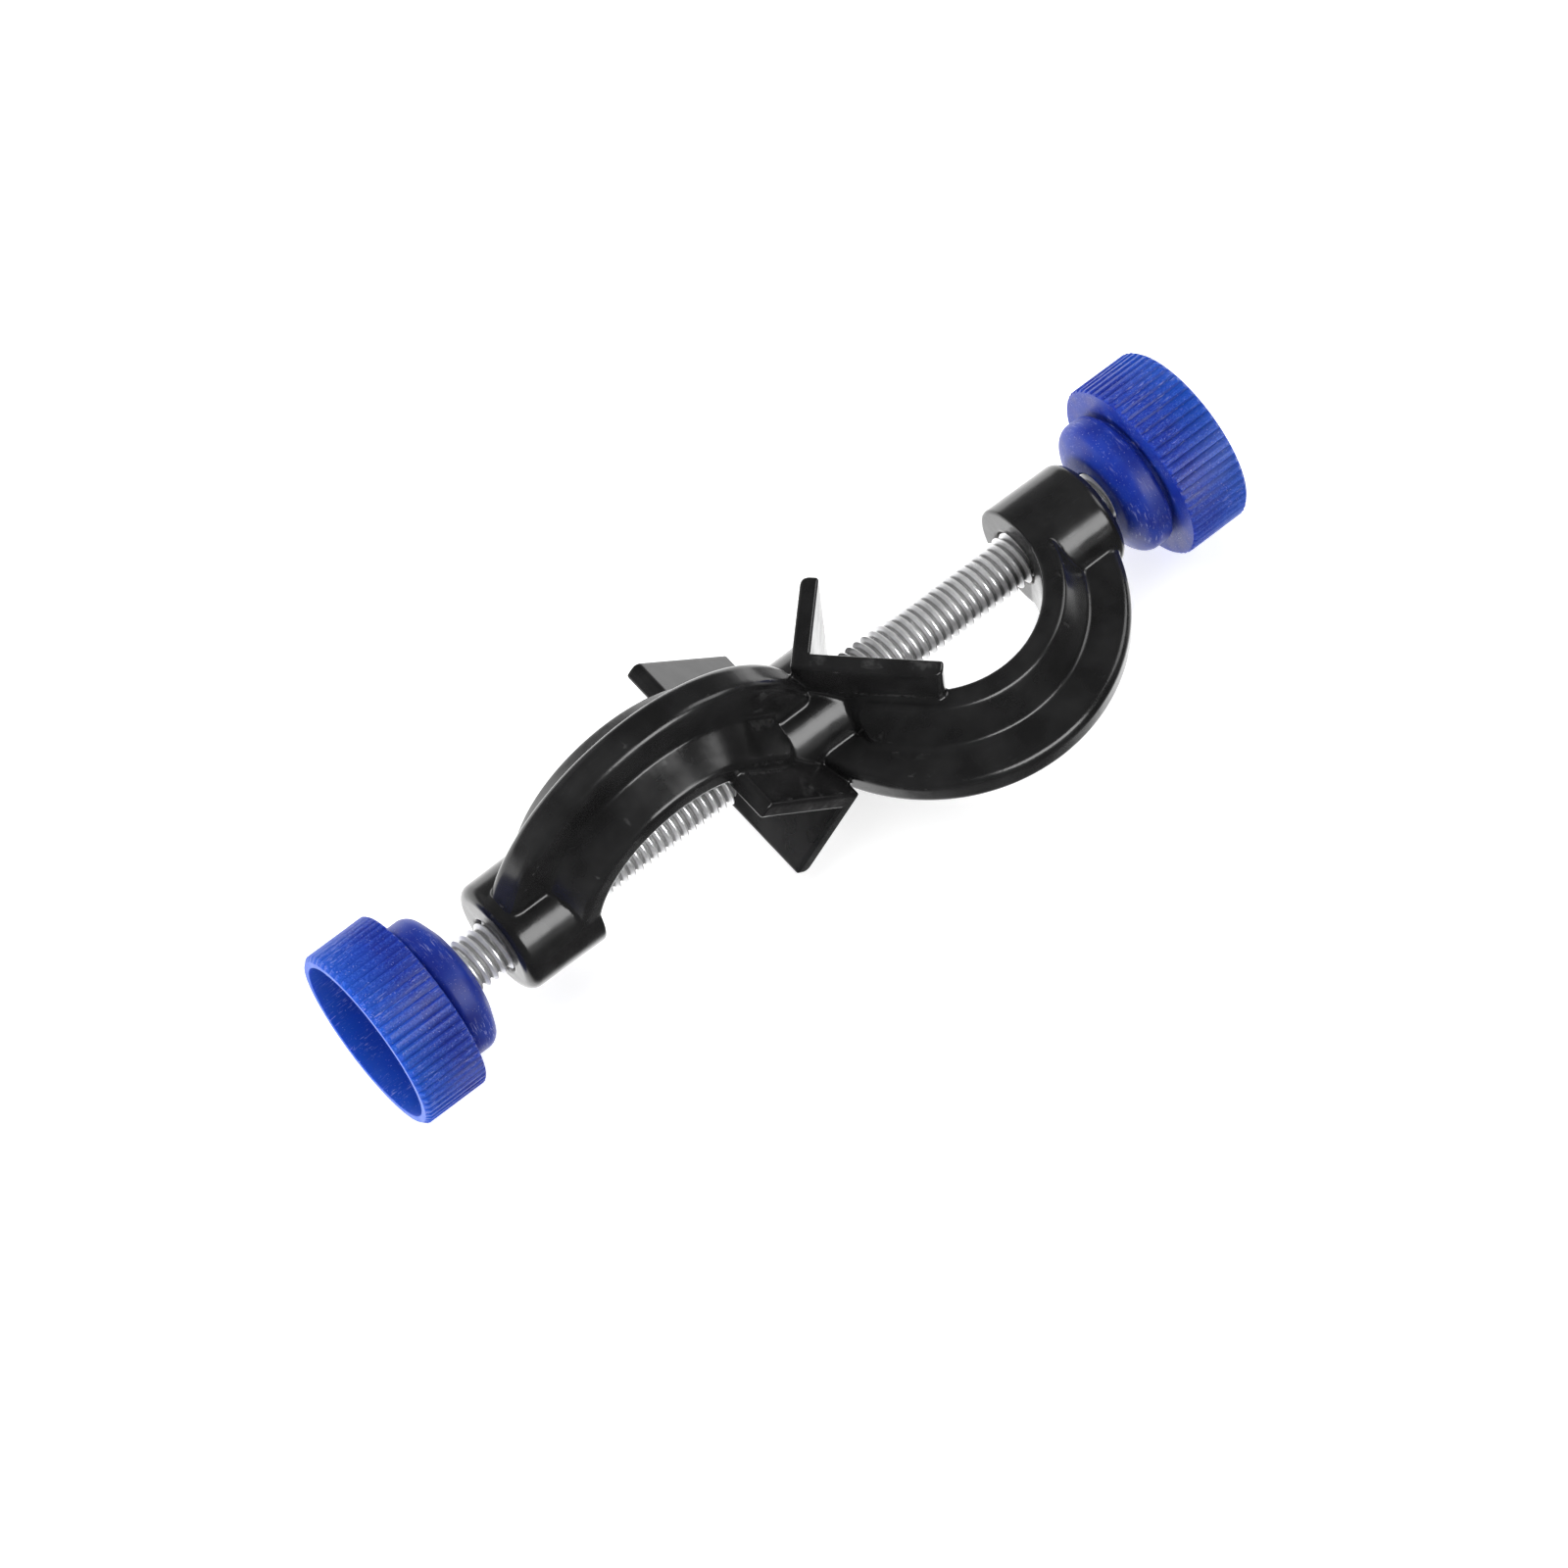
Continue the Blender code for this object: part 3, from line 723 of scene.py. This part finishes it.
def black_enamel(groups):
    """Gloss black paint on a casting, chipped to the metal at the screw holes."""
    made, tree, shader = new_material("black_enamel_paint")
    skin = use_group(tree, groups["skin"], Ripple=240.0, Peel=1500.0, Peel_Height=0.03, Pits=0.06)
    wear = use_group(tree, groups["worn_edges"], Sharpness=0.54, Breakup=1100.0)["Mask"]
    marks = use_group(tree, groups["fine_scratches"], Along=900.0, Round=3000.0, Amount=0.12)["Mask"]
    place = add(tree, "ShaderNodeTexCoord").outputs["Object"]
    near_hole = stretch(tree, axis_radius(tree), BORE_RADIUS, BORE_RADIUS + CHIP_WIDTH, 1.0, 0.0)
    along = add(tree, "ShaderNodeSeparateXYZ", {"Vector": place}).outputs["X"]
    off_middle = math_node(tree, "ABSOLUTE", math_node(tree, "SUBTRACT", along, MIDDLE.x))
    in_boss = stretch(tree, off_middle, BOSS_START - 1.5 * MM, BOSS_START - MM)
    rim = math_node(tree, "MULTIPLY", near_hole, in_boss)
    ragged = math_node(tree, "MULTIPLY_ADD", noise(tree, place, 1700.0, 4.0, 0.6), 1.6, -0.8)
    chip = stretch(tree, math_node(tree, "ADD", rim, ragged), 0.72, 0.8)
    paint = mixed(tree, stretch(tree, skin["Patch"], 0.35, 0.65), ENAMEL_DEEP, ENAMEL_PALE)
    dusty = mixed(tree, marks, paint, ENAMEL_DUST)
    edged = mixed(tree, math_node(tree, "MULTIPLY", wear, 0.35), dusty, ENAMEL_EDGE)
    tree.links.new(mixed(tree, chip, edged, BARE_METAL), shader.inputs["Base Color"])
    gloss = stretch(tree, skin["Patch"], 0.3, 0.7, 0.17, 0.25)
    rough = math_node(tree, "MULTIPLY_ADD", marks, 0.25, gloss)
    tree.links.new(math_node(tree, "MULTIPLY_ADD", chip, 0.3, rough), shader.inputs["Roughness"])
    tree.links.new(math_node(tree, "MULTIPLY", chip, 0.85), shader.inputs["Metallic"])
    shader.inputs["Specular IOR Level"].default_value = 0.42
    height = math_node(tree, "SUBTRACT", skin["Height"], math_node(tree, "MULTIPLY", chip, 0.6))
    bumped(tree, shader, height, 0.06 * MM)
    return made


def plated_steel(groups):
    """Bright zinc plate with scratches, a painted highlight on the thread's crests and painted shade and
    grime in its roots.
    """
    made, tree, shader = new_material("zinc_plated_steel")
    marks = use_group(tree, groups["fine_scratches"], Along=2600.0, Round=500.0, Amount=0.8)
    place = add(tree, "ShaderNodeTexCoord").outputs["Object"]
    radius = axis_radius(tree)
    root = stretch(tree, radius, THREAD_ROOT, THREAD_ROOT + 0.2 * MM, 1.0, 0.0)
    crest = stretch(tree, radius, THREAD_RADIUS - 0.08 * MM, THREAD_RADIUS - 0.03 * MM)
    blotch = stretch(tree, noise(tree, place, 700.0, 3.0), 0.35, 0.7)
    zinc = mixed(tree, blotch, ZINC_DULL, ZINC_PALE)
    # Painted shade and grime darken the thread's roots.
    root_shade_and_grime = mixed(tree, math_node(tree, "MULTIPLY", root, 0.7), zinc, ZINC_ROOT_SHADE_AND_GRIME)
    # Scratches, and a painted highlight along the thread's crests.
    scratch_and_crest_highlight = math_node(tree, "MAXIMUM", marks["Mask"], math_node(tree, "MULTIPLY", crest, 0.8))
    tree.links.new(mixed(tree, scratch_and_crest_highlight, root_shade_and_grime, ZINC_SCRATCH_AND_HIGHLIGHT), shader.inputs["Base Color"])
    rough = math_node(tree, "MULTIPLY_ADD", crest, -0.12, stretch(tree, blotch, 0.0, 1.0, 0.4, 0.5))
    tree.links.new(math_node(tree, "MULTIPLY_ADD", root, 0.25, rough), shader.inputs["Roughness"])
    shader.inputs["Metallic"].default_value = 0.58
    bumped(tree, shader, marks["Height"], 0.012 * MM)
    return made


def blue_plastic(groups):
    """Moulded blue plastic: soft skin, a painted glow near the cup's rim where light shines through the
    thin wall, pale rubbed edges, specks, and scuffs that follow ribs and bead.
    """
    made, tree, shader = new_material("moulded_blue_plastic")
    skin = use_group(tree, groups["skin"], Ripple=420.0, Peel=5000.0, Peel_Height=0.07, Pits=0.1)
    wear = use_group(tree, groups["worn_edges"], Sharpness=0.515, Breakup=5000.0)["Mask"]
    ribs = use_group(tree, groups["fine_scratches"], Along=900.0, Round=6000.0, Amount=0.8)["Mask"]
    bead = use_group(tree, groups["fine_scratches"], Along=6500.0, Round=700.0, Amount=1.0)["Mask"]
    outside = stretch(tree, axis_radius(tree), BEAD_RADIUS + 0.2 * MM, BEAD_RADIUS + 0.4 * MM)
    choice = add(tree, "ShaderNodeMix", {0: outside, 2: bead, 3: ribs}).outputs[0]
    place = add(tree, "ShaderNodeTexCoord").outputs["Object"]
    specks = stretch(tree, noise(tree, place, 5200.0, 2.0, 0.6), 0.66, 0.72)
    marks = math_node(tree, "MAXIMUM", choice, math_node(tree, "MULTIPLY", specks, 0.7))
    along = add(tree, "ShaderNodeSeparateXYZ", {0: place}).outputs["X"]
    right_rim = stretch(tree, along, right_knob_high.x - THIN_DEPTH, right_knob_high.x)
    left_rim = stretch(tree, along, left_knob_low.x + THIN_DEPTH, left_knob_low.x)
    thin = math_node(tree, "MAXIMUM", right_rim, left_rim)
    moulded = mixed(tree, stretch(tree, skin["Patch"], 0.35, 0.65), BLUE_DEEP, BLUE_PALE)
    # Painted glow: lighter blue near each cup's rim, where light shines through the wall.
    body = mixed(tree, math_node(tree, "MULTIPLY", thin, 0.8), moulded, BLUE_PAINTED_GLOW)
    rubbed = mixed(tree, math_node(tree, "MULTIPLY", wear, 0.3), body, BLUE_RUBBED)
    scuffed = mixed(tree, math_node(tree, "MULTIPLY", marks, 0.7), rubbed, BLUE_SCUFFED)
    tree.links.new(scuffed, shader.inputs["Base Color"])
    gloss = stretch(tree, skin["Patch"], 0.3, 0.7, 0.4, 0.5)
    tree.links.new(math_node(tree, "MULTIPLY_ADD", marks, 0.2, gloss), shader.inputs["Roughness"])
    shader.inputs["Subsurface Weight"].default_value = 0.45
    shader.inputs["Subsurface Radius"].default_value = (0.2, 0.35, 1.0)
    shader.inputs["Subsurface Scale"].default_value = 1.6 * MM
    shader.inputs["Specular IOR Level"].default_value = 0.3
    height = math_node(tree, "MULTIPLY_ADD", marks, 0.3, skin["Height"])
    bumped(tree, shader, height, 0.05 * MM)
    return made


def dress(piece, finish, body, slot, *nodes):
    piece.data.materials.clear()
    piece.data.materials.append(finish)
    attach(piece, body)
    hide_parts(*nodes)


# Studio

def table():
    """A pale glowing table top."""
    bpy.ops.mesh.primitive_plane_add(size=TABLE_SIZE, location=(0, 0, 0))
    top = bpy.context.object
    top.name = "studio_table"
    made, tree, shader = new_material("pale_table")
    shader.inputs["Base Color"].default_value = TABLE_COLOUR
    shader.inputs["Roughness"].default_value = 0.7
    shader.inputs["Emission Color"].default_value = WHITE
    shader.inputs["Emission Strength"].default_value = TABLE_GLOW
    top.data.materials.append(made)
    top.visible_glossy = False


def air():
    """A dim room: the lit table below and behind the clamp, and a low wall opposite."""
    world = bpy.data.worlds.new("studio_air")
    world.use_nodes = True
    tree = world.node_tree
    place = add(tree, "ShaderNodeTexCoord").outputs["Generated"]
    split = add(tree, "ShaderNodeSeparateXYZ", {0: place})
    below = stretch(tree, split.outputs["Z"], *TABLE_BELOW)
    behind = stretch(tree, split.outputs["Y"], *TABLE_BEHIND)
    lit = math_node(tree, "MULTIPLY", math_node(tree, "MULTIPLY", below, behind), TABLE_LIGHT)
    low = stretch(tree, split.outputs["Z"], *WALL_LOW)
    far = stretch(tree, split.outputs["Y"], *WALL_FAR)
    wall = math_node(tree, "MULTIPLY", math_node(tree, "MULTIPLY", low, far), WALL_LIGHT)
    strength = math_node(tree, "ADD", math_node(tree, "ADD", lit, wall), AIR_LIGHT)
    tree.links.new(strength, tree.nodes["Background"].inputs["Strength"])
    tree.nodes["Background"].inputs["Color"].default_value = WHITE
    bpy.context.scene.world = world


def soft_box(name, bearing, rise, distance, width, height, radiance, shine, soft):
    """A rectangular lamp that faces the middle of the clamp."""
    data = bpy.data.lights.new(name, "AREA")
    data.shape = "RECTANGLE"
    data.size = width
    data.size_y = height
    data.energy = radiance * math.pi * width * height
    lamp = bpy.data.objects.new(name, data)
    turn = Matrix.Rotation(math.radians(bearing), 4, "Z") \
        @ Matrix.Rotation(math.radians(90 - rise), 4, "X")
    lamp.matrix_world = Matrix.Translation(MIDDLE) @ turn @ Matrix.Translation((0, 0, distance))
    lamp.visible_glossy = shine
    lamp.visible_diffuse = soft
    bpy.context.scene.collection.objects.link(lamp)


def camera():
    """The photo's viewpoint: bearing, tilt and roll about the point that the photo's middle shows."""
    data = bpy.data.cameras.new("photo_camera")
    data.lens = CAMERA_LENS
    data.sensor_width = CAMERA_SENSOR
    data.clip_start = 0.01
    turn = Matrix.Rotation(CAMERA_BEARING, 4, "Z") @ Matrix.Rotation(CAMERA_TILT, 4, "X") \
        @ Matrix.Rotation(CAMERA_ROLL, 4, "Z")
    item = bpy.data.objects.new("photo_camera", data)
    back = turn @ Vector((0, 0, 1))
    item.matrix_world = Matrix.Translation(AIM + CAMERA_DISTANCE * back) @ turn
    bpy.context.scene.collection.objects.link(item)
    bpy.context.scene.camera = item


# The dressed clamp

camera()
table()
air()
for name, setting in SOFT_BOXES.items():
    soft_box(name, *setting)
groups = {"worn_edges": worn_edges_group(), "fine_scratches": scratches_group(), "skin": skin_group()}
paint = black_enamel(groups)
steel = plated_steel(groups)
plastic = blue_plastic(groups)

dress(cast_body(), paint, "clamp_body", "black_enamel", "clamp_body")

stud = threaded_stud()
left_stud = placed(stud, "left_threaded_stud", left_knob_low, left_knob_high, -1)
right_stud = placed(stud, "right_threaded_stud", right_knob_low, right_knob_high, 1)
dress(right_stud, steel, "right_screw", "plated_steel", "right_screw")
dress(left_stud, steel, "left_screw", "plated_steel", "left_screw")

knob = ribbed_knob()
left_knob = placed(knob, "left_ribbed_knob", left_knob_low, left_knob_high, -1)
right_knob = placed(knob, "right_ribbed_knob", right_knob_low, right_knob_high, 1)
dress(right_knob, plastic, "right_knob", "blue_plastic", "right_knob")
dress(left_knob, plastic, "left_knob", "blue_plastic", "left_knob")

bpy.context.scene.view_settings.view_transform = "Standard"
